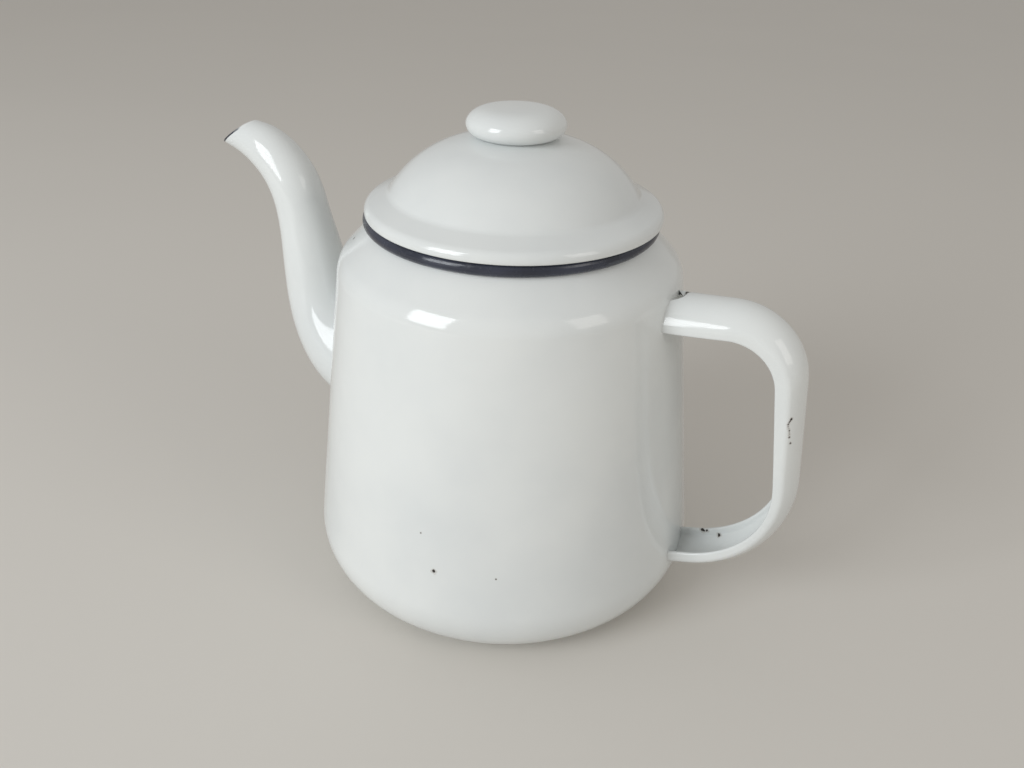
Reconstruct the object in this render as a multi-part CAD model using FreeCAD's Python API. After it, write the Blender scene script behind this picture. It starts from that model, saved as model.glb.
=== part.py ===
import FreeCAD, Part
import math
import os

# Enamelled steel teapot with a swan-neck spout.  Millimetres, +Z up.
# The origin is the middle of the standing ring, on the table.
# The handle points to +X and the spout to -X; Y = 0 is the plane they share.

# Sheet: drawn steel with enamel on both sides
sheet = 1.2

# Pot body, sizes of the outer face
base_flat_r = 53.0         # outer edge of the flat standing ring
base_corner_r = 22.0       # rounding between the base and the wall
wall_taper = 6.87          # lean of the wall from upright, degrees
wall_top_z = 127.0         # where the wall runs into the shoulder
shoulder_r = 12.0          # rounding of the shoulder
shoulder_end = 44.0        # how far the shoulder turns over, degrees from level
ring_width = 9.0           # flat width of the standing ring
dish_rise = 1.5            # the base inside the ring is lifted this much
dish_run = 4.0             # radial run of the step from the ring to the dish

# Mouth: rolled edge at the top of the cone over the shoulder
mouth_bore_r = 47.7
bead_r = 2.35
bead_up = 0.84             # middle of the rolled edge above the end of the cone
mouth_clear = 1.9          # radial play between the lid collar and the mouth

# Lid
lid_h = 27.3996            # height of the dome above the rim it rests on
lid_crown_r = 70.0         # curve of the flat crown
lid_crown_end = 20.0       # slope where the crown turns into the side, degrees
lid_side_r = 40.0          # curve of the dome's side
lid_side_end = 56.0        # slope where the side turns into the hollow, degrees
lid_hollow_r = 4.0
lid_hollow_end = 24.0      # slope where the hollow ends and the brim's round starts, degrees
lid_brim_over = 0.1        # the brim reaches this far past the rolled edge
lid_brim_round = 3.4
lid_brim_up = 1.043        # middle of the brim's round above the rim it rests on
lid_brim_tuck = 10.0       # how far the brim turns in below its widest, degrees
collar_drop = 11.0         # reach of the collar below the rim it rests on
lid_aside = 0.9            # the loose lid lies this far over towards the handle

# Knob on the lid
knob_r = 17.2
knob_crease_r = 13.2       # where the knob meets the dome
knob_h = 9.9               # from there to the top of the knob
knob_wide = 0.45           # share of that height where the knob is widest
knob_edge_r = 13.5         # outer edge of the flat crown
knob_crown = 1.4           # rise of the crown over its edge

# Handle: pressed channel, open towards the hand
grip_w = 19.2              # width of the strap at the grip
top_end_w = 22.0           # width where the top arm meets the pot
low_end_w = 18.0           # width where the lower arm meets the pot
flare_len = 60.0           # length over which each end widens
top_end_depth = 10.8       # depth of the channel where the top arm meets the pot
strap_depth = 6.5          # depth at the lower bend
shallow_len = 105.0        # the channel gets shallower over this distance from the top joint
low_end_depth = 7.8        # depth where the lower arm meets the pot
strap_sheet = 1.4
strap_round = 2.5          # rounding between the back and the sides
top_end_round = 6.0        # rounding where the top arm meets the pot
strap_camber = 4.0         # rise of the back over its width
top_end_camber = 8.0       # rise where the top arm meets the pot
arch_len = 75.0            # length over which the top arm's arch flattens
top_arm_z = 129.2          # height of the back of the top arm at the wall
top_arm_rise = 4.8         # upward slope of the top arm, degrees
grip_x = 112.2             # distance of the grip from the axis at grip_z
grip_z = 90.1
grip_lean = 5.8            # the grip leans out towards the foot, degrees
low_arm_x = 75.0           # a point on the back of the lower arm
low_arm_z = 20.5
low_arm_rise = 17.2        # slope of the lower arm, degrees
top_bend_r = 26.0
low_bend_r = 45.0
end_gap_r = 4.5            # gap left open over the top arm's joint

# Spout: centre line (distance from the axis, height) and outer diameter
spout_line = [
    (62.0, 71.0, 41.0),
    (71.5, 75.4, 39.5),
    (79.5, 82.3, 35.6),
    (85.2, 91.5, 31.0),
    (88.7, 103.0, 27.0),
    (90.9, 117.0, 23.8),
    (93.3, 130.0, 21.0),
    (96.5, 141.3, 20.2),
    (102.2, 149.4, 18.9),
    (109.6, 154.8, 17.2),
    (117.9, 157.5, 14.0),
    (127.0, 158.9, 10.6),
    (133.0, 159.7, 9.0),
]
spout_sheet = 1.2
lip_x = 121.3              # the mouth of the spout is cut here
lip_z = 160.0
lip_slope = 34.0           # the cut slopes down and outwards, degrees
outlet_r = 13.0            # hole in the wall behind the spout

V = FreeCAD.Vector
Z = V(0, 0, 1)


def polar(centre, radius, degrees):
    a = math.radians(degrees)
    return (centre[0] + radius * math.cos(a), centre[1] + radius * math.sin(a))


def at(p):
    return V(p[0], 0, p[1])


def line(p, q):
    return Part.makeLine(at(p), at(q))


def arc(centre, radius, start, end):
    middle = polar(centre, radius, (start + end) / 2)
    ends = [polar(centre, radius, start), polar(centre, radius, end)]
    return Part.Arc(at(ends[0]), at(middle), at(ends[1])).toShape()


def turned(edges):
    # A closed outline in the XZ plane turned round the Z axis
    face = Part.Face(Part.Wire(edges))
    return face.revolve(V(0, 0, 0), Z, 360)


# Pot outline
corner_c = (base_flat_r, base_corner_r)
wall_foot = polar(corner_c, base_corner_r, wall_taper)
lean = math.tan(math.radians(wall_taper))
wall_top = (wall_foot[0] - lean * (wall_top_z - wall_foot[1]), wall_top_z)
shoulder_c = polar(wall_top, -shoulder_r, wall_taper)
shoulder_tip = polar(shoulder_c, shoulder_r, shoulder_end)
# A straight cone runs on from the shoulder and ends inside the rolled edge
cone_tip_r = mouth_bore_r + bead_r / 2
cone_rise = (shoulder_tip[0] - cone_tip_r) / math.tan(math.radians(shoulder_end))
cone_tip = (cone_tip_r, shoulder_tip[1] + cone_rise)
cone_tip_in = polar(cone_tip, -sheet, shoulder_end)
bead_z = cone_tip[1] + bead_up
rest_z = bead_z + bead_r
shoulder_tip_in = polar(shoulder_tip, -sheet, shoulder_end)


def wall_r(z):
    return wall_foot[0] - lean * (z - wall_foot[1])


def wall_in(p):
    return polar(p, -sheet, wall_taper)


# Upper shell: wall, shoulder and cone from one sheet
body_edges = [
    line(wall_foot, wall_top),
    arc(shoulder_c, shoulder_r, wall_taper, shoulder_end),
    line(shoulder_tip, cone_tip),
    line(cone_tip, cone_tip_in),
    line(cone_tip_in, shoulder_tip_in),
    arc(shoulder_c, shoulder_r - sheet, shoulder_end, wall_taper),
    line(wall_in(wall_top), wall_in(wall_foot)),
    line(wall_in(wall_foot), wall_foot),
]
body_shell = turned(body_edges)

# The whole pot as a filled body, to fit the spout and the handle to it
filled_edges = [
    line((0, 0), (base_flat_r, 0)),
    arc(corner_c, base_corner_r, -90, wall_taper),
    line(wall_foot, wall_top),
    arc(shoulder_c, shoulder_r, wall_taper, shoulder_end),
    line(shoulder_tip, cone_tip),
    line(cone_tip, (0, cone_tip[1])),
    line((0, cone_tip[1]), (0, 0)),
]
pot_filled = turned(filled_edges)

# Base pan: standing ring, lifted dish and the lower corner
ring_in = base_flat_r - ring_width
dish_out = ring_in - dish_run
base_edges = [
    line((0, dish_rise), (dish_out, dish_rise)),
    line((dish_out, dish_rise), (ring_in, 0)),
    line((ring_in, 0), (base_flat_r, 0)),
    arc(corner_c, base_corner_r, -90, wall_taper),
    line(wall_foot, wall_in(wall_foot)),
    arc(corner_c, base_corner_r - sheet, wall_taper, -90),
    line((base_flat_r, sheet), (ring_in, sheet)),
    line((ring_in, sheet), (dish_out, dish_rise + sheet)),
    line((dish_out, dish_rise + sheet), (0, dish_rise + sheet)),
    line((0, dish_rise + sheet), (0, dish_rise)),
]
base_pan = turned(base_edges)

# Rolled edge of the mouth
bead_ring_r = mouth_bore_r + bead_r
mouth_rim = Part.makeTorus(bead_ring_r, bead_r, V(0, 0, bead_z), Z)
body_shell = body_shell.cut(mouth_rim)

# Lid dome: crown, rounder side, shallow hollow, cone, rounded brim.
# The dome hangs from its crown, the brim lies on the rolled edge, and the cone joins the two.
lid_top_z = rest_z + lid_h
crown_c = (0, lid_top_z - lid_crown_r)
crown_a = 90 - lid_crown_end
side_a = 90 - lid_side_end
hollow_a = 90 - lid_hollow_end
crown_tip = polar(crown_c, lid_crown_r, crown_a)
side_c = polar(crown_tip, -lid_side_r, crown_a)
side_tip = polar(side_c, lid_side_r, side_a)
hollow_c = polar(side_tip, lid_hollow_r, side_a)
hollow_tip = polar(hollow_c, -lid_hollow_r, hollow_a)
lid_brim_r = mouth_bore_r + 2 * bead_r + lid_brim_over
brim_c = (lid_brim_r - lid_brim_round, rest_z + lid_brim_up)
brim_start = polar(brim_c, lid_brim_round, hollow_a)
brim_in = lid_brim_round - sheet
brim_low = polar(brim_c, lid_brim_round, -lid_brim_tuck)
brim_low_in = polar(brim_c, brim_in, -lid_brim_tuck)
dome_edges = [
    arc(crown_c, lid_crown_r, 90, crown_a),
    arc(side_c, lid_side_r, crown_a, side_a),
    arc(hollow_c, lid_hollow_r, 180 + side_a, 180 + hollow_a),
    line(hollow_tip, brim_start),
    arc(brim_c, lid_brim_round, hollow_a, -lid_brim_tuck),
    line(brim_low, brim_low_in),
    arc(brim_c, brim_in, -lid_brim_tuck, hollow_a),
    line(polar(brim_c, brim_in, hollow_a), polar(hollow_tip, -sheet, hollow_a)),
    arc(hollow_c, lid_hollow_r + sheet, 180 + hollow_a, 180 + side_a),
    arc(side_c, lid_side_r - sheet, side_a, crown_a),
    arc(crown_c, lid_crown_r - sheet, crown_a, 90),
    line((0, lid_top_z - sheet), (0, lid_top_z)),
]
lid_dome = turned(dome_edges)

# Collar: a flange that rests on the rolled edge and a skirt inside the mouth
skirt_out = mouth_bore_r - mouth_clear
skirt_in = skirt_out - sheet
skirt_low = rest_z - collar_drop
flange_top = rest_z + sheet
collar_edges = [
    line((skirt_in, skirt_low), (skirt_out, skirt_low)),
    line((skirt_out, skirt_low), (skirt_out, rest_z)),
    line((skirt_out, rest_z), (lid_brim_r, rest_z)),
    line((lid_brim_r, rest_z), (lid_brim_r, flange_top)),
    line((lid_brim_r, flange_top), (skirt_in, flange_top)),
    line((skirt_in, flange_top), (skirt_in, skirt_low)),
]
# The flange ends on the inside of the brim
under_brim = [
    line((0, skirt_low), (brim_low_in[0], skirt_low)),
    line((brim_low_in[0], skirt_low), brim_low_in),
    arc(brim_c, brim_in, -lid_brim_tuck, hollow_a),
    line(polar(brim_c, brim_in, hollow_a), (0, lid_top_z)),
    line((0, lid_top_z), (0, skirt_low)),
]
lid_collar = turned(collar_edges).common(turned(under_brim))

# Knob: hollow pressing standing on the dome
knob_foot_z = crown_c[1] + math.sqrt(lid_crown_r ** 2 - knob_crease_r ** 2)
knob_top_z = knob_foot_z + knob_h
knob_edge_z = knob_top_z - knob_crown
knob_wide_z = knob_foot_z + knob_wide * knob_h


def knob_shape(inset):
    foot = (knob_crease_r - inset, crown_c[1])
    low = (knob_crease_r - inset, knob_foot_z)
    top = (0, knob_top_z - inset)
    side = Part.Arc(at(low), at((knob_r - inset, knob_wide_z)), at((knob_edge_r, knob_edge_z - inset)))
    flat_r = (knob_edge_r ** 2 + knob_crown ** 2) / (2 * knob_crown)
    half = math.degrees(math.asin(knob_edge_r / flat_r))
    flat_c = (0, knob_top_z - inset - flat_r)
    edges = [
        line(foot, low),
        side.toShape(),
        arc(flat_c, flat_r, 90 - half, 90),
        line(top, (0, foot[1])),
        line((0, foot[1]), foot),
    ]
    return turned(edges)


crown_ball = Part.makeSphere(lid_crown_r, at(crown_c))
lid_knob = knob_shape(0).cut(knob_shape(sheet)).cut(crown_ball)
for lid_piece in (lid_dome, lid_collar, lid_knob):
    lid_piece.translate(V(lid_aside, 0, 0))

# Handle: path of the back of the strap in the XZ plane
top_dir = polar((0, 0), 1, top_arm_rise)
grip_dir = polar((0, 0), 1, grip_lean - 90)
low_dir = polar((0, 0), 1, low_arm_rise + 180)


def meet(p, u, q, w):
    # Where the line through p along u meets the line through q along w
    k = ((q[0] - p[0]) * w[1] - (q[1] - p[1]) * w[0]) / (u[0] * w[1] - u[1] * w[0])
    return (p[0] + k * u[0], p[1] + k * u[1])


def bend(corner, u, w, radius):
    # Start, end and centre of a round between directions u and w
    turn = math.acos(u[0] * w[0] + u[1] * w[1])
    cut = radius * math.tan(turn / 2)
    start = (corner[0] - cut * u[0], corner[1] - cut * u[1])
    end = (corner[0] + cut * w[0], corner[1] + cut * w[1])
    centre = (start[0] + radius * u[1], start[1] - radius * u[0])
    return start, end, centre, turn


# The strap is drawn a little way into the wall and then trimmed to it
root_in = 5 * sheet
top_root = (wall_r(top_arm_z) - root_in, top_arm_z)
low_root_x = wall_r(low_arm_z) - root_in
low_root = (low_root_x, low_arm_z + (low_root_x - low_arm_x) * math.tan(math.radians(low_arm_rise)))
top_corner = meet(top_root, top_dir, (grip_x, grip_z), grip_dir)
low_corner = meet((grip_x, grip_z), grip_dir, low_root, low_dir)
b1 = bend(top_corner, top_dir, grip_dir, top_bend_r)
b2 = bend(low_corner, grip_dir, low_dir, low_bend_r)


def along(p, q, n):
    # Points from p towards q, the last one left out
    return [(p[0] + (q[0] - p[0]) * i / n, p[1] + (q[1] - p[1]) * i / n) for i in range(n)]


def round_stations(b, radius, first, n):
    # Stations round a bend: point and outward direction
    stations = []
    for i in range(n):
        a = first - b[3] * i / n
        out = (math.cos(a), math.sin(a))
        stations.append(((b[2][0] + radius * out[0], b[2][1] + radius * out[1]), out))
    return stations


top_out = (-top_dir[1], top_dir[0])
grip_out = (-grip_dir[1], grip_dir[0])
low_out = (-low_dir[1], low_dir[0])
stations = [(p, top_out) for p in along(top_root, b1[0], 4)]
stations += round_stations(b1, top_bend_r, math.atan2(top_out[1], top_out[0]), 6)
stations += [(p, grip_out) for p in along(b1[1], b2[0], 3)]
stations += round_stations(b2, low_bend_r, math.atan2(grip_out[1], grip_out[0]), 8)
stations += [(p, low_out) for p in along(b2[1], low_root, 2)]
stations.append((low_root, low_out))


def smooth(k):
    k = min(max(k, 0.0), 1.0)
    return k * k * (3 - 2 * k)


def top_share(p, run):
    # 1 at the top joint, falling to 0 over the run
    far = math.hypot(p[0] - top_root[0], p[1] - top_root[1])
    return 1 - smooth((far - root_in) / run)


def low_share(p, run):
    # 1 at the lower joint, falling to 0 over the run
    far = math.hypot(p[0] - low_root[0], p[1] - low_root[1])
    return 1 - smooth((far - root_in) / run)


def strap_width(p):
    width = grip_w + (top_end_w - grip_w) * top_share(p, flare_len)
    return width + (low_end_w - grip_w) * low_share(p, flare_len)


def channel_depth(p):
    depth = strap_depth + (top_end_depth - strap_depth) * top_share(p, shallow_len)
    return depth + (low_end_depth - strap_depth) * low_share(p, flare_len)


def strap_section(p, out, inset, deeper):
    # Outline across the strap: flat sides, rounded edges, arched back
    half = strap_width(p) / 2
    depth = channel_depth(p) + deeper
    camber = strap_camber + (top_end_camber - strap_camber) * top_share(p, arch_len)
    arch_r = (half ** 2 + camber ** 2) / (2 * camber)
    rounding = strap_round + (top_end_round - strap_round) * top_share(p, arch_len)
    round_y = half - rounding
    round_n = math.sqrt((arch_r - rounding) ** 2 - round_y ** 2) - arch_r
    rnd = rounding - inset
    turn = math.atan2(round_n + arch_r, round_y)

    def place(y, n):
        return V(p[0] + n * out[0], y, p[1] + n * out[1])

    def corner(side, angle):
        return place(side * (round_y + rnd * math.cos(angle)), round_n + rnd * math.sin(angle))

    def edge(side):
        return place(side * (half - inset), -depth)

    edges = []
    edges.append(Part.makeLine(edge(-1), corner(-1, 0)))
    edges.append(Part.Arc(corner(-1, 0), corner(-1, turn / 2), corner(-1, turn)).toShape())
    edges.append(Part.Arc(corner(-1, turn), place(0, -inset), corner(1, turn)).toShape())
    edges.append(Part.Arc(corner(1, turn), corner(1, turn / 2), corner(1, 0)).toShape())
    edges.append(Part.makeLine(corner(1, 0), edge(1)))
    edges.append(Part.makeLine(edge(1), edge(-1)))
    return Part.Wire(edges)


outer = Part.makeLoft([strap_section(p, out, 0, 0) for p, out in stations], True, False)
inner = Part.makeLoft([strap_section(p, out, strap_sheet, strap_sheet) for p, out in stations], True, False)
gap_z = top_arm_z - 2.5 * strap_sheet
end_gap = Part.makeCylinder(end_gap_r, 5 * strap_sheet, V(wall_r(top_arm_z), 0, gap_z), Z)
handle_strap = outer.cut(inner).cut(pot_filled).cut(end_gap)

# Spout: sections square to the centre line, on the -X side
points = [V(-s, 0, z) for s, z, d in spout_line]
guide = Part.BSplineCurve()
guide.interpolate(points)


def spout_solid(inset):
    rings = []
    for p, (s, z, d) in zip(points, spout_line):
        tangent = guide.tangent(guide.parameter(p))[0]
        ring = Part.Circle(p, tangent, d / 2 - inset)
        rings.append(Part.Wire(ring.toShape()))
    return Part.makeLoft(rings, True, False)


# The tools that cut the spout reach past its tip
reach = spout_line[-1][0] / 2
lip = Part.makeBox(reach, reach, reach, V(-reach, -reach / 2, 0))
lip.rotate(V(0, 0, 0), V(0, 1, 0), -lip_slope)
lip.translate(V(-lip_x + reach / 2 * math.cos(math.radians(lip_slope)), 0,
                lip_z + reach / 2 * math.sin(math.radians(lip_slope))))
spout = spout_solid(0).cut(spout_solid(spout_sheet)).cut(pot_filled).cut(lip)
side_box = Part.makeBox(4 * reach, 2 * reach, 4 * reach, V(-4 * reach, 0, 0))
spout_right_half = spout.common(side_box)
spout_left_half = spout.cut(side_box)

# Outlet behind the spout, in line with its foot
foot_dir = points[1].sub(points[0])
outlet = Part.makeCylinder(outlet_r, reach, points[0].sub(foot_dir), foot_dir)
body_shell = body_shell.cut(outlet)

pieces = {
    "body_shell": body_shell,
    "base_pan": base_pan,
    "mouth_rim": mouth_rim,
    "spout_left_half": spout_left_half,
    "spout_right_half": spout_right_half,
    "handle_strap": handle_strap,
    "lid_dome": lid_dome,
    "lid_collar": lid_collar,
    "lid_knob": lid_knob,
}
os.makedirs("parts", exist_ok=True)
for name, shape in pieces.items():
    solid = shape.Solids[0]
    print(name, len(shape.Solids), shape.isValid(), round(shape.Volume), shape.BoundBox)
    solid.exportStep("parts/" + name + ".step")
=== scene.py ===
import math

import bmesh
import bpy
import numpy as np
from bpy.props import FloatProperty, FloatVectorProperty, PointerProperty
from bpy.types import Operator, Panel, PropertyGroup
from mathutils import Matrix, Vector


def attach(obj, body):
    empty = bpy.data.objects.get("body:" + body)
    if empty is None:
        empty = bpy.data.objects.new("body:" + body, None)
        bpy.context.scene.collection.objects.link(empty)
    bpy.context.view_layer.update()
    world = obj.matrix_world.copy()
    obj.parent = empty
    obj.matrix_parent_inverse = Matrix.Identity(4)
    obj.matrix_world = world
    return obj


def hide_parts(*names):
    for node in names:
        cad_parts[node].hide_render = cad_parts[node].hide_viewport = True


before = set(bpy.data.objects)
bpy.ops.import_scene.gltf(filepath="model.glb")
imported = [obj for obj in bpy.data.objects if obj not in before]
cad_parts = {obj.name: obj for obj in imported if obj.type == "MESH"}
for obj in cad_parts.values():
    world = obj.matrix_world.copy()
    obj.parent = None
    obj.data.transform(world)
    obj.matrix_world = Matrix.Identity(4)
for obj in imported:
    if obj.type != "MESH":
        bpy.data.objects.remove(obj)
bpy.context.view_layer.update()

bl_info = {
    "name": "Enamel Teapot",
    "version": (1, 0, 0),
    "blender": (4, 5, 0),
    "location": "View3D > Sidebar > Teapot",
    "description": "Builds a white enamelled steel teapot with a swan-neck spout and a lift-off lid",
    "category": "Add Mesh",
}

MM = 0.001
RIGHT = math.pi / 2
SHARP = math.radians(50)  # edges that bend more stay sharp
TURN_STEPS = 192          # faces round a turned piece
BORE_STEPS = 64           # faces round a bored hole
CURVE_STEPS = 400         # steps along the lines of the spout and the handle
LIP_STEPS = 6             # steps round a half-round edge
HALVINGS = 40             # steps of a search for a crossing
SAME_POINT = 1e-7         # metres
NO_AREA = 1e-12           # square metres


# Sizes and colours

def length(name, description, millimetres):
    """A length that the sidebar shows in scene units."""
    return FloatProperty(
        name=name, description=description, default=millimetres * MM, min=0.0, unit="LENGTH"
    )


def angle(name, description, degrees):
    """An angle that the sidebar shows in degrees."""
    return FloatProperty(
        name=name, description=description, default=math.radians(degrees), subtype="ANGLE"
    )


def colour(name, description, default):
    """A plain colour without alpha."""
    return FloatVectorProperty(
        name=name, description=description, default=default, size=3, min=0.0, max=1.0,
        subtype="COLOR",
    )


def power(name, description, watts):
    """The power of a lamp."""
    return FloatProperty(name=name, description=description, default=watts, min=0.0, unit="POWER")


class TEAPOT_PG_pot(PropertyGroup):
    """Sizes of the pot's outer face."""

    sheet: length("Sheet", "Thickness of the enamelled sheet", 1.2)
    ring_out: length("Ring radius", "Outer radius of the flat standing ring", 53.0)
    ring_width: length("Ring width", "Flat width of the standing ring", 9.0)
    dish_rise: length("Dish rise", "Lift of the base inside the standing ring", 1.5)
    corner: length("Base corner", "Rounding between the base and the wall", 22.0)
    taper: angle("Wall taper", "Lean of the wall from upright", 6.87)
    wall_top: length("Wall top", "Height at which the shoulder starts", 127.0)
    shoulder: length("Shoulder", "Rounding of the shoulder", 12.0)
    shoulder_end: angle("Shoulder turn", "How far the shoulder turns over before the cone", 44.0)
    mouth: length("Mouth radius", "Inner radius of the mouth", 47.7)
    bead: length("Rim bead", "Radius of the rolled edge", 2.35)
    bead_z: length("Rim height", "Height of the middle of the rolled edge", 145.46)
    outlet: length("Outlet radius", "Hole in the wall behind the spout", 13.0)


class TEAPOT_PG_lid(PropertyGroup):
    """Sizes of the lid and its knob."""

    top: length("Dome top", "Height of the top of the dome", 175.21)
    crown: length("Crown radius", "Curve of the flat crown", 70.0)
    crown_end: angle("Crown end", "Slope where the crown turns into the side", 20.0)
    side: length("Side radius", "Curve of the dome's side", 40.0)
    side_end: angle("Side end", "Slope where the side turns into the hollow", 56.0)
    hollow: length("Hollow radius", "Radius of the hollow above the brim", 4.0)
    hollow_end: angle("Brim slope", "Slope of the cone above the brim", 24.0)
    brim: length("Brim radius", "Largest radius of the lid", 52.5)
    brim_round: length("Brim rounding", "Rounding of the brim", 3.4)
    play: length("Collar play", "Gap between the collar and the mouth", 1.9)
    drop: length("Collar drop", "Reach of the collar below the rim", 11.0)
    aside: length("Aside", "How far the loose lid lies over towards the handle", 0.9)
    knob: length("Knob radius", "Largest radius of the knob", 17.2)
    knob_foot: length("Knob foot", "Radius of the crease under the knob", 13.2)
    knob_height: length("Knob height", "Height of the knob over that crease", 9.9)


class TEAPOT_PG_handle(PropertyGroup):
    """Sizes of the strap handle."""

    grip_width: length("Grip width", "Width of the strap at the grip", 19.2)
    top_width: length("Top width", "Width where the top arm meets the pot", 22.0)
    low_width: length("Lower width", "Width where the lower arm meets the pot", 18.0)
    depth: length("Depth", "Depth of the channel at the lower bend", 6.5)
    top_depth: length("Top depth", "Depth where the top arm meets the pot", 10.8)
    low_depth: length("Lower depth", "Depth where the lower arm meets the pot", 7.8)
    sheet: length("Sheet", "Thickness of the strap", 1.4)
    rounding: length("Rounding", "Rounding between the back and the sides", 2.5)
    top_rounding: length("Top rounding", "Rounding where the top arm meets the pot", 6.0)
    camber: length("Camber", "Rise of the back over its width", 4.0)
    top_camber: length("Top camber", "Rise of the back where the top arm meets the pot", 8.0)
    top_bend: length("Top bend", "Radius of the upper bend", 26.0)
    low_bend: length("Lower bend", "Radius of the lower bend", 45.0)


class TEAPOT_PG_finish(PropertyGroup):
    """Colours and gloss of the enamel."""

    white: colour("White enamel", "Colour of the body, lid, spout and handle", (0.78, 0.80, 0.79))
    pooled: colour(
        "Pooled enamel", "Slightly greyer tone where the enamel is thick", (0.71, 0.735, 0.735)
    )
    rim: colour("Rim enamel", "Blue-black of the rolled edge", (0.022, 0.025, 0.038))
    bare: colour("Chipped steel", "Dark steel under a chip", (0.018, 0.015, 0.013))
    gloss: FloatProperty(
        name="Roughness", description="Roughness of the fired enamel", default=0.1, min=0.0, max=1.0
    )


class TEAPOT_PG_stage(PropertyGroup):
    """Floor and lamps."""

    floor: colour("Floor", "Colour of the plain floor", (0.70, 0.67, 0.625))
    key: power("Window lamp", "Power of the large lamp", 10.5)
    fill: power("Side lamp", "Power of the side lamp", 1.5)
    sky: FloatProperty(
        name="Room light", description="Strength of the even light", default=0.47, min=0.0
    )


# Outlines

def polar(centre, radius, a):
    """The point at angle a, in radians, round a centre."""
    return (centre[0] + radius * math.cos(a), centre[1] + radius * math.sin(a))


def full_turn(steps):
    """Even angles round a full turn."""
    return [2 * math.pi * i / steps for i in range(steps)]


def soft_step(k):
    """0 to 1 with a level start and end."""
    return k * k * (3 - 2 * k)


def arc(centre, radius, start, end, steps):
    """Points along an arc, both ends included."""
    return [polar(centre, radius, start + (end - start) * i / steps) for i in range(steps + 1)]


def run(p, q, steps):
    """Points along a straight run, both ends included."""
    dx, dy = q[0] - p[0], q[1] - p[1]
    return [(p[0] + dx * i / steps, p[1] + dy * i / steps) for i in range(steps + 1)]


def ease(p, q, steps):
    """Points along a soft step between two levels."""
    dx, dy = q[0] - p[0], q[1] - p[1]
    shares = [i / steps for i in range(steps + 1)]
    return [(p[0] + dx * k, p[1] + dy * soft_step(k)) for k in shares]


def chain(*parts):
    """Joins runs and arcs into one outline without doubled points."""
    points = []
    for part in parts:
        for p in part:
            if not points or math.dist(p, points[-1]) > SAME_POINT:
                points.append(p)
    return points


def lip_round(p, q):
    """A half-round edge from p to q, bulging to the left of that direction."""
    middle = ((p[0] + q[0]) / 2, (p[1] + q[1]) / 2)
    start = math.atan2(p[1] - middle[1], p[0] - middle[0])
    return arc(middle, math.dist(p, q) / 2, start, start - math.pi, LIP_STEPS)


class PotShape:
    """The pot's outline, worked out from its sizes."""

    seam_up = 2.0 * MM    # height of the seam above the base corner
    dish_step = 4.0 * MM  # width of the step between the standing ring and the dish

    def __init__(self, s):
        self.s = s
        self.corner_c = (s.ring_out, s.corner)
        self.foot = polar(self.corner_c, s.corner, s.taper)
        self.lean = math.tan(s.taper)
        self.seam = (self.foot[0] - self.lean * self.seam_up, self.foot[1] + self.seam_up)
        self.top = (self.foot[0] - self.lean * (s.wall_top - self.foot[1]), s.wall_top)
        self.shoulder_c = polar(self.top, -s.shoulder, s.taper)
        self.tip = polar(self.shoulder_c, s.shoulder, s.shoulder_end)
        self.cone = math.tan(s.shoulder_end)
        end = s.mouth + s.bead / 2
        self.end = (end, self.tip[1] + (self.tip[0] - end) / self.cone)

    def radius(self, z):
        """Outer radius of the pot at a height, up to the rolled edge."""
        s = self.s
        if z < self.foot[1]:
            return self.corner_c[0] + math.sqrt(max(s.corner ** 2 - (s.corner - z) ** 2, 0.0))
        if z <= s.wall_top:
            return self.foot[0] - self.lean * (z - self.foot[1])
        if z <= self.tip[1]:
            rise = z - self.shoulder_c[1]
            return self.shoulder_c[0] + math.sqrt(s.shoulder ** 2 - rise ** 2)
        return self.tip[0] - self.cone * (z - self.tip[1])

    def holds(self, p):
        """Whether a point lies within the pot's outer face."""
        return math.hypot(p.x, p.y) < self.radius(p.z)

    def side(self, inset):
        """Outline of the wall, shoulder and cone, from the seam upwards."""
        s = self.s
        turn = s.shoulder_end
        return chain(
            run(polar(self.seam, -inset, s.taper), polar(self.top, -inset, s.taper), 40),
            arc(self.shoulder_c, s.shoulder - inset, s.taper, turn, 28),
            run(polar(self.tip, -inset, turn), polar(self.end, -inset, turn), 8),
        )

    def base(self, inset):
        """Outline of the base, from the axis to the seam."""
        s = self.s
        ring_in = s.ring_out - s.ring_width
        dish = (ring_in - self.dish_step, s.dish_rise + inset)
        return chain(
            run((0.0, dish[1]), dish, 10),
            ease(dish, (ring_in, inset), 8),
            run((ring_in, inset), (s.ring_out, inset), 4),
            arc(self.corner_c, s.corner - inset, -RIGHT, s.taper, 40),
            run(polar(self.foot, -inset, s.taper), polar(self.seam, -inset, s.taper), 1),
        )


# Meshes

def smooth(mesh):
    """Smooth shading that leaves sharp edges sharp."""
    mesh.shade_smooth()
    mesh.set_sharp_from_angle(angle=SHARP)


def finish_mesh(name, verts, faces, tint=None):
    """Makes a smooth object with outward faces; tint gives a material index for each face."""
    mesh = bpy.data.meshes.new(name)
    mesh.from_pydata(verts, [], faces)
    if tint:
        mesh.polygons.foreach_set("material_index", tint)
    mesh.update()
    mesh.validate()
    shape = bmesh.new()
    shape.from_mesh(mesh)
    bmesh.ops.recalc_face_normals(shape, faces=shape.faces)
    shape.to_mesh(mesh)
    shape.free()
    smooth(mesh)
    obj = bpy.data.objects.new(name, mesh)
    bpy.context.scene.collection.objects.link(obj)
    return obj


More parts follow.
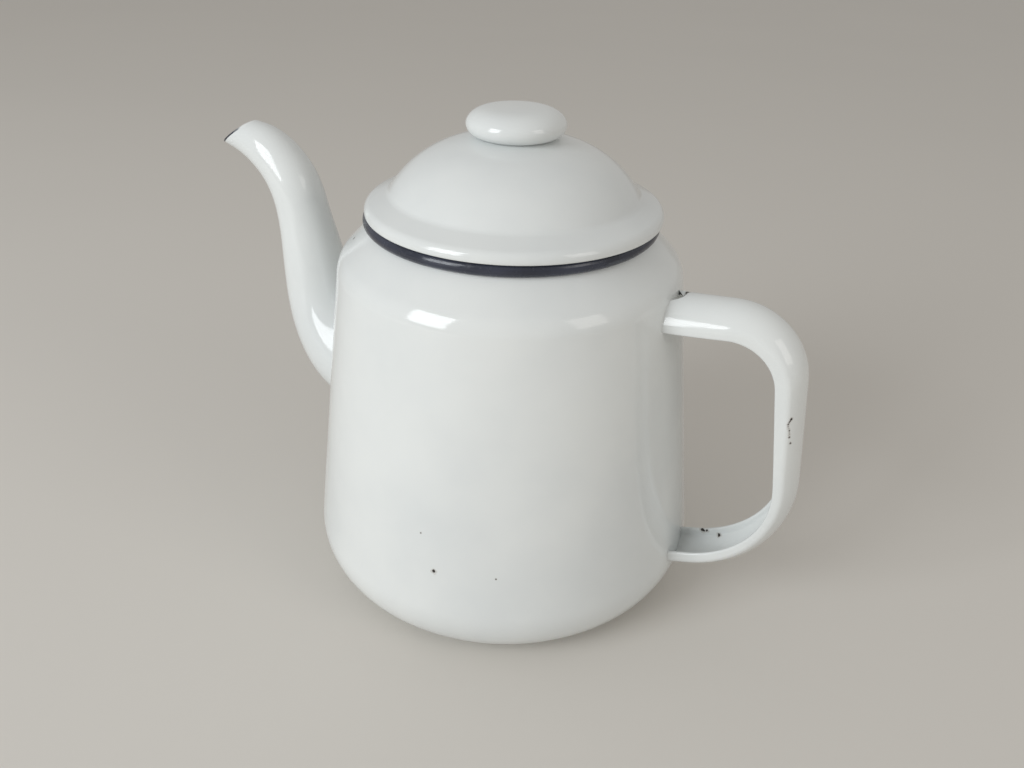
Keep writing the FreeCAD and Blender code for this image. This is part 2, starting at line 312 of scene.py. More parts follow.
def turned(name, outline, closed, aside=0.0):
    """Turns an outline round an upright axis; closed joins its end to its start.

    A point on the axis becomes a single vertex.
    """
    verts, rows = [], []
    for r, z in outline:
        if r < SAME_POINT:
            rows.append([len(verts)] * TURN_STEPS)
            verts.append((aside, 0.0, z))
            continue
        rows.append(list(range(len(verts), len(verts) + TURN_STEPS)))
        verts += [(aside + r * math.cos(a), r * math.sin(a), z) for a in full_turn(TURN_STEPS)]
    if closed:
        rows.append(rows[0])
    faces = []
    for low, high in zip(rows, rows[1:]):
        for i in range(TURN_STEPS):
            j = (i + 1) % TURN_STEPS
            corners = [low[i], low[j], high[j], high[i]]
            ring = [c for k, c in enumerate(corners) if c != corners[k - 1]]
            if len(ring) > 2:
                faces.append(ring)
    return finish_mesh(name, verts, faces)


def tube_faces(lines, looped):
    """Faces between neighbouring lines of points; looped joins each line's end to its start."""
    across = len(lines[0])
    faces = []
    for j in range(len(lines)):
        k = (j + 1) % len(lines)
        for i in range(across if looped else across - 1):
            n = (i + 1) % across
            faces.append([j * across + i, k * across + i, k * across + n, j * across + n])
    return faces


def bored(obj, start, way, radius):
    """Cuts a round hole through a piece, from start along a direction."""
    way = Vector(way)
    turn = way.to_track_quat("Z", "Y")
    verts, faces = [], []
    for end in (0.0, 1.0):
        for a in full_turn(BORE_STEPS):
            ring = turn @ Vector((radius * math.cos(a), radius * math.sin(a), 0.0))
            verts.append(tuple(Vector(start) + way * end + ring))
    for i in range(BORE_STEPS):
        j = (i + 1) % BORE_STEPS
        faces.append([i, j, BORE_STEPS + j, BORE_STEPS + i])
    faces.append(list(range(BORE_STEPS - 1, -1, -1)))
    faces.append(list(range(BORE_STEPS, 2 * BORE_STEPS)))
    tool = finish_mesh("bore", verts, faces)
    cut = obj.modifiers.new("bore", "BOOLEAN")
    cut.object = tool
    cut.operation = "DIFFERENCE"
    solved = obj.evaluated_get(bpy.context.evaluated_depsgraph_get())
    mesh = bpy.data.meshes.new_from_object(solved)
    obj.modifiers.clear()
    old = obj.data
    obj.data = mesh
    bpy.data.meshes.remove(old)
    bpy.data.meshes.remove(tool.data)
    shape = bmesh.new()
    shape.from_mesh(mesh)
    bmesh.ops.triangulate(shape, faces=[f for f in shape.faces if len(f.verts) > 4])
    empty = [f for f in shape.faces if f.calc_area() < NO_AREA]
    bmesh.ops.delete(shape, geom=empty, context="FACES")
    shape.to_mesh(mesh)
    shape.free()
    smooth(mesh)


def add_to_pot(obj, slot, *nodes):
    """Lets a piece stand for CAD nodes and move with the pot."""
    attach(obj, "pot")
    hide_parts(*nodes)


def add_to_lid(obj, slot, *nodes):
    """Lets a piece stand for CAD nodes and move with the lid."""
    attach(obj, "lid")
    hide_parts(*nodes)


def through(points, steps):
    """Evenly spaced points on a natural cubic curve, whose knots are the given points."""
    p = np.array(points, float)
    gaps = np.linalg.norm(np.diff(p[:, :2], axis=0), axis=1)
    knots = np.concatenate([[0.0], np.cumsum(gaps)])
    n = len(p)
    a = np.zeros((n, n))
    b = np.zeros_like(p)
    a[0, 0] = a[-1, -1] = 1.0
    for i in range(1, n - 1):
        a[i, i - 1:i + 2] = gaps[i - 1], 2 * (gaps[i - 1] + gaps[i]), gaps[i]
        b[i] = 6 * ((p[i + 1] - p[i]) / gaps[i] - (p[i] - p[i - 1]) / gaps[i - 1])
    bend = np.linalg.solve(a, b)
    t = np.linspace(0.0, knots[-1], steps + 1)
    i = np.clip(np.searchsorted(knots, t, side="right") - 1, 0, n - 2)
    h = gaps[i][:, None]
    u = (t - knots[i])[:, None]
    w = h - u
    return (
        bend[i] * w ** 3 / (6 * h) + bend[i + 1] * u ** 3 / (6 * h)
        + (p[i] / h - bend[i] * h / 6) * w + (p[i + 1] / h - bend[i + 1] * h / 6) * u
    )


def crossing(low, high, inside):
    """The value between low and high at which inside(value) turns from true to false."""
    for _ in range(HALVINGS):
        middle = (low + high) / 2
        if inside(middle):
            low = middle
        else:
            high = middle
    return (low + high) / 2


# Finishes

CHIP_RAGGED = 900.0               # scale of the noise that tears a chip's edge
CHIP_WANDER = 1.5                 # how far the edge wanders, in radii
CHIP_CORE = 0.72                  # share of the radius that is bare throughout
CHIP_DEPTH = 0.18 * MM
CHIP_ROUGH = 0.5                  # roughness added in a chip
STAIN_REACH = 1.9                 # radius of the stain round a chip, in radii
STAIN_SHARE = 0.35                # strength of the stain
STAIN = (0.42, 0.38, 0.33, 1.0)
RUST = (0.06, 0.032, 0.018, 1.0)
RUBBED = (0.16, 0.15, 0.14, 1.0)  # worn specks on a dark edge
WAVE_HEIGHT = 0.22 * MM           # wide waves of the white enamel
PEEL_HEIGHT = 0.006 * MM          # its fine grain
RIM_WAVE_HEIGHT = 0.08 * MM
RIM_THICK = 1.9                   # gain of the dark enamel's lighter tone
TO_WHITE_RAGGED = 3.0 * MM            # how far the place where the dark lip turns white wanders
ENAMEL_IOR = 1.52
FLOOR_DARK = 0.96                 # gain of the floor's darker tone
FLOOR_ROUGH = 0.65


class Nodes:
    """Short way to add linked shader nodes."""

    def __init__(self, tree):
        self.tree = tree

    def add(self, kind, settings=None, **inputs):
        """A node with its settings, and its inputs by name."""
        node = self.tree.nodes.new(kind)
        for key, value in (settings or {}).items():
            setattr(node, key, value)
        for key, value in inputs.items():
            self.feed(node.inputs[key.replace("_", " ")], value)
        return node

    def feed(self, socket, value):
        """Links a socket to another one, or sets its value."""
        if isinstance(value, bpy.types.NodeSocket):
            self.tree.links.new(value, socket)
        else:
            socket.default_value = value

    def feed_all(self, node, values):
        """Feeds a node's inputs in order."""
        for socket, value in zip(node.inputs, values):
            self.feed(socket, value)
        return node

    def place(self):
        """The place on the object."""
        return self.add("ShaderNodeTexCoord").outputs["Object"]

    def noise(self, place, scale, detail, **inputs):
        """Cloudy noise."""
        return self.add("ShaderNodeTexNoise", Vector=place, Scale=scale, Detail=detail, **inputs)

    def maths(self, operation, *values):
        """A sum of numbers or the like."""
        node = self.add("ShaderNodeMath", {"operation": operation})
        return self.feed_all(node, values).outputs[0]

    def vector(self, operation, *values):
        """A sum of vectors or the like, or the length of one."""
        node = self.add("ShaderNodeVectorMath", {"operation": operation})
        self.feed_all(node, values)
        return node.outputs["Value"] if operation == "LENGTH" else node.outputs["Vector"]

    def span(self, value, low, high, to_low=0.0, to_high=1.0):
        """A smooth step from to_low to to_high while the value goes from low to high."""
        node = self.add("ShaderNodeMapRange", {"interpolation_type": "SMOOTHSTEP"})
        return self.feed_all(node, (value, low, high, to_low, to_high)).outputs[0]

    def blend(self, amount, a, b):
        """A mix of two colours."""
        node = self.add("ShaderNodeMix", {"data_type": "RGBA"})
        self.feed(node.inputs["Factor"], amount)
        self.feed(node.inputs[6], a)
        self.feed(node.inputs[7], b)
        return node.outputs[2]

    def bump(self, height):
        """A normal bent by a height in metres."""
        return self.add("ShaderNodeBump", Strength=1.0, Distance=1.0, Height=height).outputs[0]


def rgba(c, gain=1.0):
    """A colour with alpha, made lighter or darker by a gain."""
    return (c[0] * gain, c[1] * gain, c[2] * gain, 1.0)


def new_material(name):
    """A node material with nothing but a principled shader."""
    mat = bpy.data.materials.new(name)
    mat.use_nodes = True
    mat.node_tree.nodes.clear()
    nodes = Nodes(mat.node_tree)
    shader = nodes.add("ShaderNodeBsdfPrincipled")
    out = nodes.add("ShaderNodeOutputMaterial")
    mat.node_tree.links.new(shader.outputs[0], out.inputs["Surface"])
    return mat, nodes, shader


def chip_mask(nodes, place, chips, grow):
    """1 inside the chips and 0 outside, with ragged edges.

    A chip is a place and a radius, in millimetres, and grow is a factor for the radius.
    """
    ragged = nodes.noise(place, CHIP_RAGGED, 3.0)
    shift = nodes.vector("SUBTRACT", ragged.outputs["Color"], (0.5, 0.5, 0.5))
    mask = None
    for x, y, z, size in chips:
        wander = nodes.add("ShaderNodeVectorMath", {"operation": "SCALE"})
        nodes.feed(wander.inputs[0], shift)
        wander.inputs["Scale"].default_value = size * MM * CHIP_WANDER
        moved = nodes.vector("ADD", place, wander.outputs[0])
        off = nodes.vector("SUBTRACT", moved, (x * MM, y * MM, z * MM))
        reach = size * MM * grow
        near = nodes.span(nodes.vector("LENGTH", off), reach, reach * CHIP_CORE)
        mask = near if mask is None else nodes.maths("MAXIMUM", mask, near)
    return mask


def enamel(name, chips):
    """White enamel: deep gloss over a faintly uneven ground, with chips down to the steel."""
    f = bpy.context.scene.teapot_finish
    mat, nodes, shader = new_material(name)
    place = nodes.place()
    cloud = nodes.noise(place, 14.0, 4.0, Roughness=0.55)
    tone = nodes.span(cloud.outputs["Fac"], 0.32, 0.72)
    ground = nodes.blend(tone, rgba(f.white), rgba(f.pooled))
    smear = nodes.noise(place, 38.0, 6.0, Roughness=0.65)
    gloss = nodes.span(smear.outputs["Fac"], 0.35, 0.8, f.gloss * 0.8, f.gloss * 1.9)
    wave = nodes.noise(place, 48.0, 1.0)
    peel = nodes.noise(place, 620.0, 2.0)
    height = nodes.maths(
        "ADD",
        nodes.maths("MULTIPLY", wave.outputs["Fac"], WAVE_HEIGHT),
        nodes.maths("MULTIPLY", peel.outputs["Fac"], PEEL_HEIGHT),
    )
    if chips:
        chip = chip_mask(nodes, place, chips, 1.0)
        stain = chip_mask(nodes, place, chips, STAIN_REACH)
        ground = nodes.blend(nodes.maths("MULTIPLY", stain, STAIN_SHARE), ground, STAIN)
        rust = nodes.noise(place, 1500.0, 2.0)
        steel = nodes.blend(nodes.span(rust.outputs["Fac"], 0.45, 0.7), rgba(f.bare), RUST)
        ground = nodes.blend(chip, ground, steel)
        gloss = nodes.maths("ADD", gloss, nodes.maths("MULTIPLY", chip, CHIP_ROUGH))
        height = nodes.maths("SUBTRACT", height, nodes.maths("MULTIPLY", chip, CHIP_DEPTH))
    nodes.feed(shader.inputs["Base Color"], ground)
    nodes.feed(shader.inputs["Roughness"], gloss)
    nodes.feed(shader.inputs["Normal"], nodes.bump(height))
    shader.inputs["IOR"].default_value = ENAMEL_IOR
    return mat


def rim_enamel(name, to_white=None):
    """Blue-black enamel of an edge, with fine rubbed specks.

    Given two places along X, in millimetres, it fades to white between them.
    """
    f = bpy.context.scene.teapot_finish
    mat, nodes, shader = new_material(name)
    place = nodes.place()
    cloud = nodes.noise(place, 60.0, 4.0)
    thick = nodes.span(cloud.outputs["Fac"], 0.3, 0.75)
    ground = nodes.blend(thick, rgba(f.rim), rgba(f.rim, RIM_THICK))
    speck = nodes.noise(place, 420.0, 3.0).outputs["Fac"]
    ground = nodes.blend(nodes.span(speck, 0.71, 0.76, 0.0, 0.5), ground, RUBBED)
    if to_white:
        # Along X, between the two given places, the dark edge turns to the white enamel's colour
        along = nodes.add("ShaderNodeSeparateXYZ", Vector=place).outputs["X"]
        along = nodes.maths("ADD", along, nodes.maths("MULTIPLY", speck, TO_WHITE_RAGGED))
        fade = nodes.span(along, to_white[0] * MM, to_white[1] * MM)
        ground = nodes.blend(fade, ground, rgba(f.white))
    nodes.feed(shader.inputs["Base Color"], ground)
    nodes.feed(shader.inputs["Roughness"], nodes.span(speck, 0.4, 0.8, 0.12, 0.4))
    height = nodes.maths("MULTIPLY", cloud.outputs["Fac"], RIM_WAVE_HEIGHT)
    nodes.feed(shader.inputs["Normal"], nodes.bump(height))
    return mat


def floor_finish(name, c):
    """A plain matt floor with a barely uneven tone."""
    mat, nodes, shader = new_material(name)
    cloud = nodes.noise(nodes.place(), 3.0, 5.0)
    ground = nodes.blend(cloud.outputs["Fac"], rgba(c), rgba(c, FLOOR_DARK))
    nodes.feed(shader.inputs["Base Color"], ground)
    shader.inputs["Roughness"].default_value = FLOOR_ROUGH
    return mat


# Pieces, in millimetres: chips as x, y, z and radius, the spout as reach, height and diameter

POT_CHIPS = [
    (9.2, -72.2, 40.7, 0.75), (3.6, -71.0, 54.5, 0.3),
    (30.3, -66.2, 41.3, 0.3), (-48.0, -28.7, 137.3, 0.5),
]
GRIP_CHIPS = [
    (108.2, -8.4, 97.8, 0.55), (108.0, -8.6, 97.2, 0.55), (107.8, -8.8, 96.6, 0.5),
    (107.7, -9.0, 96.0, 0.45), (107.8, -8.9, 95.2, 0.4), (108.0, -8.8, 94.4, 0.4),
    (108.3, -8.7, 93.6, 0.4), (108.4, -8.6, 92.8, 0.35), (108.6, -8.6, 92.0, 0.35),
    (108.8, -8.5, 91.1, 0.4), (109.4, -8.0, 88.6, 0.45), (82.8, 7.6, 30.6, 0.9),
    (84.3, 7.6, 30.9, 0.6), (89.2, 7.6, 30.6, 0.7), (65.9, 2.0, 129.7, 0.8),
]
SPOUT_LINE = [
    (62.0, 71.0, 41.0), (71.5, 75.4, 39.5), (79.5, 82.3, 35.6), (85.2, 91.5, 31.0),
    (88.7, 103.0, 27.0), (90.9, 117.0, 23.8), (93.3, 130.0, 21.0), (96.5, 141.3, 20.2),
    (102.2, 149.4, 18.9), (109.6, 154.8, 17.2), (117.9, 157.5, 14.0), (127.0, 158.9, 10.6),
    (133.0, 159.7, 9.0),
]
LIP_POINT = (121.3, 160.0)
LIP_SLOPE = math.radians(34)
# Places along X, in millimetres, between which the spout's dark lip turns to white enamel towards
# the pot
LIP_TO_WHITE = (-118.0, -114.5)


class TEAPOT_OT_pot(Operator):
    """Makes the pot's wall, base and dark rolled rim"""

    bl_idname = "teapot.pot"
    bl_label = "Pot body"
    bore_reach = 3  # length of the bore, in first steps of the spout's line

    def execute(self, context):
        s = context.scene.teapot_pot
        shape = PotShape(s)
        white = enamel("white_enamel_pot", POT_CHIPS)
        wall = turned("pot_wall", chain(shape.side(0.0), shape.side(s.sheet)[::-1]), True)
        (x, z, _), (next_x, next_z, _) = SPOUT_LINE[:2]
        way = ((x - next_x) * self.bore_reach * MM, 0.0, (next_z - z) * self.bore_reach * MM)
        bored(wall, (-x * MM, 0.0, z * MM), way, s.outlet)
        wall.data.materials.append(white)
        add_to_pot(wall, "white_enamel", "body_shell")
        base = turned("pot_base", chain(shape.base(0.0), shape.base(s.sheet)[::-1]), False)
        base.data.materials.append(white)
        add_to_pot(base, "white_enamel", "base_pan")
        ring = arc((s.mouth + s.bead, s.bead_z), s.bead, 0.0, 2 * math.pi, 40)[:-1]
        rim = turned("mouth_bead", ring, True)
        rim.data.materials.append(rim_enamel("blue_black_enamel"))
        add_to_pot(rim, "blue_black_enamel", "mouth_rim")
        return {"FINISHED"}


class TEAPOT_OT_lid(Operator):
    """Makes the lid's dome, collar and knob"""

    bl_idname = "teapot.lid"
    bl_label = "Lid"
    tuck = math.radians(-10)  # where the brim's round ends
    collar_bend = 1.6 * MM    # rounding between the flange and the skirt
    collar_slack = 0.15 * MM  # gap between the flange and the brim
    # Share of the knob's radius, and drop below its top in millimetres
    knob_drops = ((0.45, 0.25), (0.72, 0.95), (0.9, 2.6), (1.0, 5.6), (0.93, 8.4))

    def execute(self, context):
        s = context.scene.teapot_lid
        pot = context.scene.teapot_pot
        white = enamel("white_enamel_lid", [])
        crown_a, side_a, hollow_a = RIGHT - s.crown_end, RIGHT - s.side_end, RIGHT - s.hollow_end
        crown_c = (0.0, s.top - s.crown)
        side_c = polar(crown_c, s.crown - s.side, crown_a)
        hollow_c = polar(side_c, s.side + s.hollow, side_a)
        hollow_tip = polar(hollow_c, -s.hollow, hollow_a)
        start_r = polar((s.brim - s.brim_round, 0.0), s.brim_round, hollow_a)[0]
        fall = (start_r - hollow_tip[0]) * math.tan(s.hollow_end)
        start = (start_r, hollow_tip[1] - fall)
        brim_c = polar(start, -s.brim_round, hollow_a)

        def skin(inset):
            return chain(
                arc(crown_c, s.crown - inset, RIGHT, crown_a, 24),
                arc(side_c, s.side - inset, crown_a, side_a, 24),
                arc(hollow_c, s.hollow + inset, math.pi + side_a, math.pi + hollow_a, 10),
                run(polar(hollow_tip, -inset, hollow_a), polar(start, -inset, hollow_a), 6),
                arc(brim_c, s.brim_round - inset, hollow_a, self.tuck, 24),
            )

        outer, inner = skin(0.0), skin(pot.sheet)
        sheet = chain(outer, lip_round(outer[-1], inner[-1]), inner[::-1])
        dome = turned("lid_dome_skin", sheet, False, s.aside)
        dome.data.materials.append(white)
        add_to_lid(dome, "white_enamel", "lid_dome")

        edge = brim_c[0] + s.brim_round - pot.sheet - self.collar_slack
        collar = turned("lid_collar_ring", self.collar_outline(s, pot, edge), True, s.aside)
        collar.data.materials.append(white)
        add_to_lid(collar, "white_enamel", "lid_collar")

        knob = turned("lid_knob_skin", self.knob_outline(s, pot.sheet), False, s.aside)
        knob.data.materials.append(white)
        add_to_lid(knob, "white_enamel", "lid_knob")
        return {"FINISHED"}

    def collar_outline(self, s, pot, edge):
        """The flange that rests on the rim, and the skirt inside the mouth."""
        bend = self.collar_bend
        rest = pot.bead_z + pot.bead
        out = pot.mouth - s.play
        back = out - pot.sheet
        low = rest - s.drop
        bend_c = (out + bend, rest - bend)
        return chain(
            run((edge, rest), (bend_c[0], rest), 4),
            arc(bend_c, bend, RIGHT, math.pi, 8),
            run((out, bend_c[1]), (out, low), 4),
            lip_round((out, low), (back, low)),
            run((back, low), (back, bend_c[1]), 4),
            arc(bend_c, bend + pot.sheet, math.pi, RIGHT, 8),
            run((bend_c[0], rest + pot.sheet), (edge, rest + pot.sheet), 4),
        )

    def knob_outline(self, s, sheet):
        """The knob's flat top, round edge and crease, closed below inside the dome's sheet."""
        foot = (s.knob_foot, s.top - s.crown + math.sqrt(s.crown ** 2 - s.knob_foot ** 2))
        top = foot[1] + s.knob_height
        edge = [(s.knob * share, top - drop * MM) for share, drop in self.knob_drops]
        points = [(r, z, 0.0) for r, z in [(0.0, top)] + edge + [foot]]
        skin = [(max(r, 0.0), z) for r, z, _ in through(points, 60).tolist()]
        skin[0] = (0.0, top)
        return chain(skin, [(foot[0] - sheet, foot[1]), (0.0, s.top - sheet / 3)])


class TEAPOT_OT_spout(Operator):
    """Makes the swan-neck spout with its dark lip"""

    bl_idname = "teapot.spout"
    bl_label = "Spout"
    around = 96             # faces round the tube
    rings = 90              # faces along it
    crowding = 0.65         # how strongly the rings crowd towards the wall
    foot_before = 0.6       # share of the line by which the tube has left the wall
    lip_after = 0.75        # share of the line after which the lip is cut
    joint_round = 2.2 * MM  # swell where the tube meets the wall
    joint_reach = 6.0 * MM  # how far the swell reaches
    joint_power = 2.5       # how fast it falls off
    joint_sink = 0.1 * MM   # how far the foot sinks into the wall
    dark_edge = 0.55 * MM   # width of the dark lip on the outer face

    def execute(self, context):
        sheet = context.scene.teapot_pot.sheet
        shape = PotShape(context.scene.teapot_pot)
        line = through([(-x * MM, z * MM, d / 2 * MM) for x, z, d in SPOUT_LINE], CURVE_STEPS)
        tangent = np.gradient(line[:, :2], axis=0)
        tangent /= np.linalg.norm(tangent, axis=1)[:, None]
        total = float(np.sum(np.linalg.norm(np.diff(line[:, :2], axis=0), axis=1)))

        def point(t, a, inset):
            i = t * CURVE_STEPS
            k = min(int(i), CURVE_STEPS - 1)
            w = i - k
            x, z, r = line[k] * (1 - w) + line[k + 1] * w
            tx, tz = tangent[k] * (1 - w) + tangent[k + 1] * w
            r -= inset
            return Vector((x - tz * r * math.cos(a), r * math.sin(a), z + tx * r * math.cos(a)))

        def before_lip(p):
            out, rise = -p.x - LIP_POINT[0] * MM, p.z - LIP_POINT[1] * MM
            return rise * math.cos(LIP_SLOPE) + out * math.sin(LIP_SLOPE) < -sheet / 2

        def row(a, inset):
            """Points at one angle round the tube, from the wall to the lip."""
            start = crossing(0.0, self.foot_before, lambda t: shape.holds(point(t, a, inset)))
            end = crossing(self.lip_after, 1.0, lambda t: before_lip(point(t, a, inset)))
            points = []
            for i in range(self.rings + 1):
                k = i / self.rings
                t = start + (end - start) * ((1 - self.crowding) * k + self.crowding * k * k)
                if i == self.rings - 1:
                    t = end - self.dark_edge / total
                reach = min((t - start) * total / self.joint_reach, 1.0)
                swell = self.joint_round * (1 - reach) ** self.joint_power
                points.append(point(t, a, inset if inset else -swell))
            if not inset:
                foot = points[0]
                out = shape.radius(foot.z) - self.joint_sink
                flat = math.hypot(foot.x, foot.y)
                points[0] = Vector((foot.x * out / flat, foot.y * out / flat, foot.z))
            return points

        def lip(outer, inner):
            """The round edge between the ends of two rows."""
            middle, half = (outer[-1] + inner[-1]) / 2, (outer[-1] - inner[-1]) / 2
            forward = (outer[-1] - outer[-2]).normalized() * half.length
            turns = [math.pi * i / LIP_STEPS for i in range(1, LIP_STEPS)]
            return [middle + half * math.cos(b) + forward * math.sin(b) for b in turns]

        lines = []
        for a in full_turn(self.around):
            outer, inner = row(a, 0.0), row(a, sheet)
            lines.append(outer + lip(outer, inner) + inner[::-1])
        dark = range(self.rings - 1, self.rings + LIP_STEPS)
        tint = [1 if i in dark else 0 for i in range(len(lines[0]))] * self.around
        verts = [tuple(p) for line in lines for p in line]
        spout = finish_mesh("spout_tube", verts, tube_faces(lines, True), tint)
        spout.data.materials.append(enamel("white_enamel_spout", []))
        spout.data.materials.append(rim_enamel("blue_black_lip", LIP_TO_WHITE))
        add_to_pot(spout, "white_enamel", "spout_left_half", "spout_right_half")
        return {"FINISHED"}


class TEAPOT_OT_handle(Operator):
    """Makes the channel-shaped strap handle"""

    bl_idname = "teapot.handle"
    bl_label = "Handle"
    stations = 150         # faces along the strap
    # A point on each leg, as x and z in millimetres, and the leg's direction
    top_arm = (56.2, 129.2, math.radians(4.8))
    grip = (112.15, 90.1, math.radians(5.8 - 90))
    low_arm = (75.0, 20.5, math.radians(17.2 + 180))
    low_end_x = 69.3 * MM  # where the lower arm's line ends, inside the wall
    top_before = 0.3       # share of the line by which the strap has left the wall
    low_after = 0.7        # share of the line after which it meets the wall again
    gap = 4.5 * MM         # radius of the notch in the back at the top joint
    even_end = 6.0 * MM    # length at both ends over which the section stays the same
    flare = 60.0 * MM      # reach of the other widths at both ends
    arched = 75.0 * MM     # reach of the rounder back of the top arm
    shallow = 132.0 * MM   # reach of the deeper sides of the top arm

    def execute(self, context):
        s = context.scene.teapot_handle
        shape = PotShape(context.scene.teapot_pot)
        path = self.path(s)
        sections = np.array([self.section(s, i / CURVE_STEPS) for i in range(CURVE_STEPS + 1)])

        def point(t, spot):
            i = t * CURVE_STEPS
            k = min(int(i), CURVE_STEPS - 1)
            w = i - k
            x, z, ox, oz = path[k] * (1 - w) + path[k + 1] * w
            y, n = sections[k, spot] * (1 - w) + sections[k + 1, spot] * w
            return Vector((x + n * ox, y, z + n * oz))

        shares = [i / self.stations for i in range(self.stations + 1)]
        lines = []
        for spot in range(sections.shape[1]):
            start = crossing(0.0, self.top_before, lambda t: shape.holds(point(t, spot)))
            end = crossing(1.0, self.low_after, lambda t: shape.holds(point(t, spot)))
            y, n = sections[0, spot]
            if abs(y) < self.gap and n > -0.5 * s.depth:
                start += math.sqrt(self.gap ** 2 - y * y) / self.size
            lines.append([point(start + (end - start) * k, spot) for k in shares])
        faces = tube_faces(lines, False)
        across = len(shares)
        last = len(lines) - 1
        for i in (0, self.stations):
            for j in range(len(lines) // 2 - 1):
                faces.append([k * across + i for k in (j, j + 1, last - 1 - j, last - j)])
        verts = [tuple(p) for line in lines for p in line]
        strap = finish_mesh("handle_channel", verts, faces)
        strap.data.materials.append(enamel("white_enamel_handle", GRIP_CHIPS))
        add_to_pot(strap, "white_enamel", "handle_strap")
        return {"FINISHED"}

    def share(self, gone, reach):
        """1 at a joint, falling smoothly to 0 over a reach along the strap."""
        return 1 - soft_step(min(max(gone * self.size - self.even_end, 0.0) / reach, 1.0))

    def path(self, s):
        """Points along the back of the strap with the outward direction at each."""
        legs = (self.top_arm, self.grip, self.low_arm)
        places = [(x * MM, z * MM) for x, z, _ in legs]
        ways = [(math.cos(a), math.sin(a)) for _, _, a in legs]
        low_run = self.low_end_x - places[2][0]
        low_end = (self.low_end_x, places[2][1] + low_run * math.tan(self.low_arm[2]))
        bends = []
        for i, radius in enumerate((s.top_bend, s.low_bend)):
            p, u, q, w = places[i], ways[i], places[i + 1], ways[i + 1]
            k = ((q[0] - p[0]) * w[1] - (q[1] - p[1]) * w[0]) / (u[0] * w[1] - u[1] * w[0])
            corner = (p[0] + k * u[0], p[1] + k * u[1])
            turn = math.acos(u[0] * w[0] + u[1] * w[1])
            cut = radius * math.tan(turn / 2)
            start = (corner[0] - cut * u[0], corner[1] - cut * u[1])
            centre = (start[0] + radius * u[1], start[1] - radius * u[0])
            first = math.atan2(u[0], -u[1])
            bends.append(arc(centre, radius, first, first - turn, 60))
        top, low = bends
        line = np.array(chain(
            run(places[0], top[0], 30), top, run(top[-1], low[0], 30), low,
            run(low[-1], low_end, 12),
        ))
        gone = np.concatenate([[0.0], np.cumsum(np.linalg.norm(np.diff(line, axis=0), axis=1))])
        self.size = float(gone[-1])
        even = np.linspace(0.0, self.size, CURVE_STEPS + 1)
        line = np.stack([np.interp(even, gone, line[:, axis]) for axis in (0, 1)], axis=1)
        way = np.gradient(line, axis=0)
        way /= np.linalg.norm(way, axis=1)[:, None]
        return np.concatenate([line, np.stack([-way[:, 1], way[:, 0]], axis=1)], axis=1)

    def section(self, s, t):
        """Outline across the strap at a share of its length: place across, height over the back."""
        top, low = self.share(t, self.flare), self.share(1 - t, self.flare)
        arched = self.share(t, self.arched)
        wider = (s.top_width - s.grip_width) * top + (s.low_width - s.grip_width) * low
        half = (s.grip_width + wider) / 2
        depth = s.depth + (s.top_depth - s.depth) * self.share(t, self.shallow)
        depth += (s.low_depth - s.depth) * low
        camber = s.camber + (s.top_camber - s.camber) * arched
        arch = (half ** 2 + camber ** 2) / (2 * camber)
        rounding = s.rounding + (s.top_rounding - s.rounding) * arched
        corner_y = half - rounding
        corner_n = math.sqrt((arch - rounding) ** 2 - corner_y ** 2) - arch
        turn = math.atan2(corner_n + arch, corner_y)
        edge = s.sheet / 2
        edge_n = edge - depth

        def skin(inset):
            right = [(half - inset, edge_n + (corner_n - edge_n) * i / 5) for i in range(5)]
            right += arc((corner_y, corner_n), rounding - inset, 0.0, turn, 10)
            back = arc((0.0, -arch), arch - inset, turn, math.pi - turn, 20)[1:-1]
            left = [(-y, n) for y, n in right[::-1]]
            return right + back + left

        outer, inner = skin(0.0), skin(s.sheet)
        left = arc((edge - half, edge_n), edge, math.pi, 2 * math.pi, 5)[1:-1]
        right = arc((half - edge, edge_n), edge, math.pi, 2 * math.pi, 5)[1:-1]
        return [(-y, n) for y, n in outer + left + inner[::-1] + right]


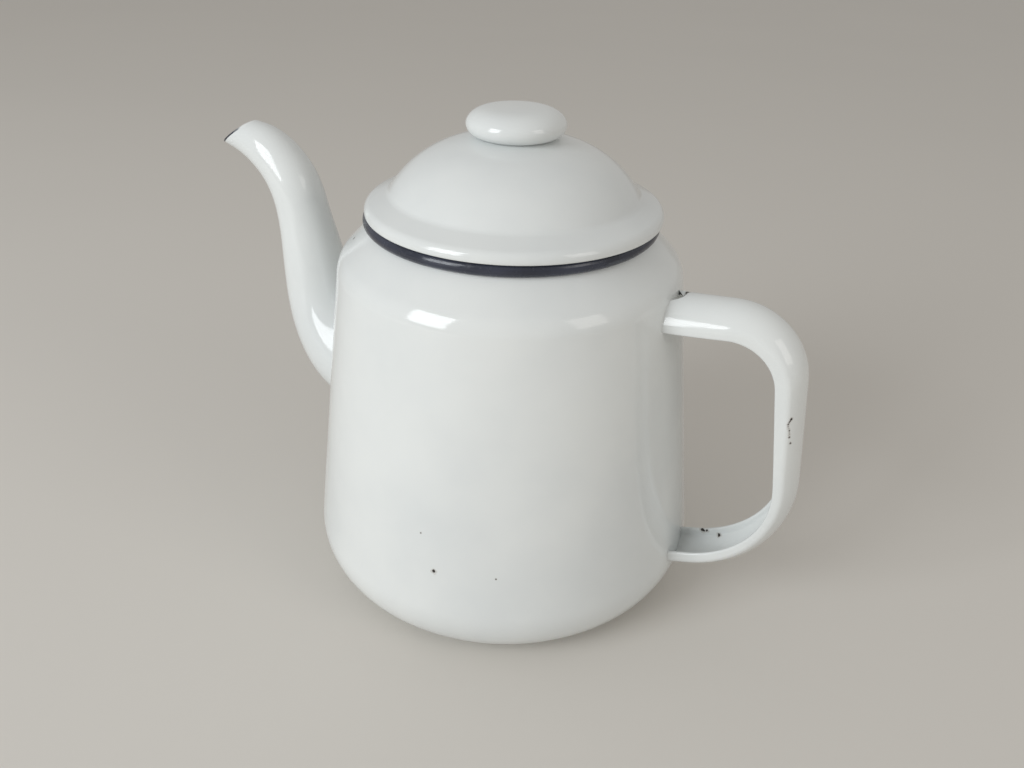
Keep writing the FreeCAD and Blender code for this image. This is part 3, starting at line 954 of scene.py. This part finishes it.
class TEAPOT_OT_stage(Operator):
    """Makes the floor, the lamps and the camera"""

    bl_idname = "teapot.stage"
    bl_label = "Stage"
    floor_half = 6.0
    floor_drop = 0.2 * MM
    window = {"place": (-0.54, -1.16, 0.62), "size": (0.62, 0.85), "tint": (0.93, 0.97, 1.0)}
    side_window = {"place": (1.07, -0.21, 0.62), "size": (0.45, 0.6), "tint": (1.0, 0.97, 0.93)}
    lamp_aim = (0.0, 0.0, 0.08)
    room_tint = (1.0, 0.98, 0.945, 1.0)
    sensor = 36.0
    focal_share = 900.0 / 1024.0  # focal length over the picture's width
    near_clip = 0.01
    # The camera's right, up and back
    view_axes = (
        (0.89232, 0.45073, 0.02453), (-0.24187, 0.43153, 0.86907), (0.38113, -0.78143, 0.49408),
    )
    view_place = (0.13631, -0.27545, 0.2515)

    def execute(self, context):
        s = context.scene.teapot_stage
        h = self.floor_half
        mesh = bpy.data.meshes.new("floor")
        mesh.from_pydata([(-h, -h, 0), (h, -h, 0), (h, h, 0), (-h, h, 0)], [], [(0, 1, 2, 3)])
        floor = bpy.data.objects.new("floor", mesh)
        floor.location.z = -self.floor_drop
        context.scene.collection.objects.link(floor)
        mesh.materials.append(floor_finish("pale_floor", s.floor))

        self.lamp("window", s.key, **self.window)
        self.lamp("side_window", s.fill, **self.side_window)

        world = bpy.data.worlds.new("room")
        world.use_nodes = True
        back = world.node_tree.nodes["Background"]
        back.inputs["Color"].default_value = self.room_tint
        back.inputs["Strength"].default_value = s.sky
        context.scene.world = world

        data = bpy.data.cameras.new("photo_view")
        data.sensor_width = self.sensor
        data.lens = self.sensor * self.focal_share
        data.clip_start = self.near_clip
        camera = bpy.data.objects.new("photo_view", data)
        context.scene.collection.objects.link(camera)
        place = Matrix(self.view_axes).transposed().to_4x4()
        place.translation = Vector(self.view_place)
        camera.matrix_world = place
        context.scene.camera = camera
        context.scene.view_settings.view_transform = "Standard"
        return {"FINISHED"}

    def lamp(self, name, watts, place, size, tint):
        """A soft window-shaped lamp that faces the pot."""
        data = bpy.data.lights.new(name, "AREA")
        data.shape = "RECTANGLE"
        data.size, data.size_y = size
        data.energy = watts
        data.color = tint
        obj = bpy.data.objects.new(name, data)
        bpy.context.scene.collection.objects.link(obj)
        aim = Vector(self.lamp_aim) - Vector(place)
        obj.location = place
        obj.rotation_euler = aim.to_track_quat("-Z", "Y").to_euler()


class TEAPOT_PT_panel(Panel):
    """Lists the pieces and their sizes in the sidebar"""

    bl_idname = "TEAPOT_PT_panel"
    bl_label = "Enamel Teapot"
    bl_space_type = "VIEW_3D"
    bl_region_type = "UI"
    bl_category = "Teapot"

    def draw(self, context):
        for operator in OPERATORS:
            self.layout.operator(operator.bl_idname)
        for group in GROUPS:
            box = self.layout.box()
            for key in group.__annotations__:
                box.prop(getattr(context.scene, GROUPS[group]), key)


GROUPS = {
    TEAPOT_PG_pot: "teapot_pot",
    TEAPOT_PG_lid: "teapot_lid",
    TEAPOT_PG_handle: "teapot_handle",
    TEAPOT_PG_finish: "teapot_finish",
    TEAPOT_PG_stage: "teapot_stage",
}
OPERATORS = [TEAPOT_OT_pot, TEAPOT_OT_lid, TEAPOT_OT_spout, TEAPOT_OT_handle, TEAPOT_OT_stage]


def register():
    for group, name in GROUPS.items():
        bpy.utils.register_class(group)
        setattr(bpy.types.Scene, name, PointerProperty(type=group))
    for cls in OPERATORS + [TEAPOT_PT_panel]:
        bpy.utils.register_class(cls)


def unregister():
    for cls in reversed(OPERATORS + [TEAPOT_PT_panel]):
        bpy.utils.unregister_class(cls)
    for group, name in reversed(GROUPS.items()):
        delattr(bpy.types.Scene, name)
        bpy.utils.unregister_class(group)


def main():
    register()
    bpy.ops.teapot.pot()
    bpy.ops.teapot.lid()
    bpy.ops.teapot.spout()
    bpy.ops.teapot.handle()
    bpy.ops.teapot.stage()


if __name__ == "__main__":
    main()
